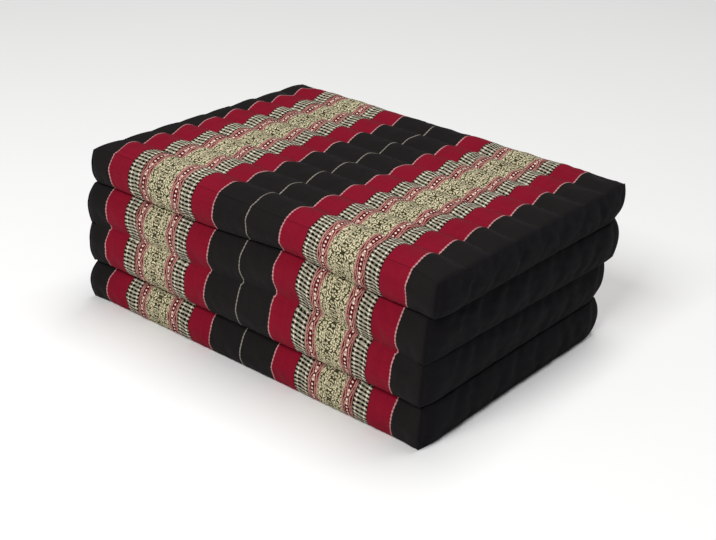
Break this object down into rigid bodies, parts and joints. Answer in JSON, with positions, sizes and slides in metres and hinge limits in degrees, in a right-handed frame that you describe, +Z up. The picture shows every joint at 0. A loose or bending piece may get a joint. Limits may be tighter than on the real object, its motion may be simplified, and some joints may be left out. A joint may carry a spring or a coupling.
{
  "type": "folding floor mattress",
  "caption": "Folding Thai floor mattress of stuffed, sewn channels, folded back and forth into a low stack, with woven bands over the top and black end gussets.",
  "frame": {"origin": "middle of the stack's footprint, on the floor", "axes": "+X across the woven bands from the left end to the right end, +Y from the front of the stack to its back, +Z up; the front, at -Y, is the side with the open ends of the top and bottom sections"},
  "size_m": [0.6914, 0.508, 0.2772],
  "materials": {
    "banded_cloth": "matt woven cotton in bands of black, red and a cream and black supplementary weft",
    "black_cloth": "matt plain-woven black cotton",
    "fold_cloth": "the same banded cotton, doubled and sewn down in the valley of a fold"
  },
  "bodies": {
    "root": {"section_1": "banded_cloth", "section_2": "banded_cloth", "section_3": "banded_cloth", "section_4": "banded_cloth", "gusset_left_1": "black_cloth", "gusset_right_1": "black_cloth", "gusset_left_2": "black_cloth", "gusset_right_2": "black_cloth", "gusset_left_3": "black_cloth", "gusset_right_3": "black_cloth", "gusset_left_4": "black_cloth", "gusset_right_4": "black_cloth", "fold_1_2": "fold_cloth", "fold_2_3": "fold_cloth", "fold_3_4": "fold_cloth"}
  },
  "joints": []
}
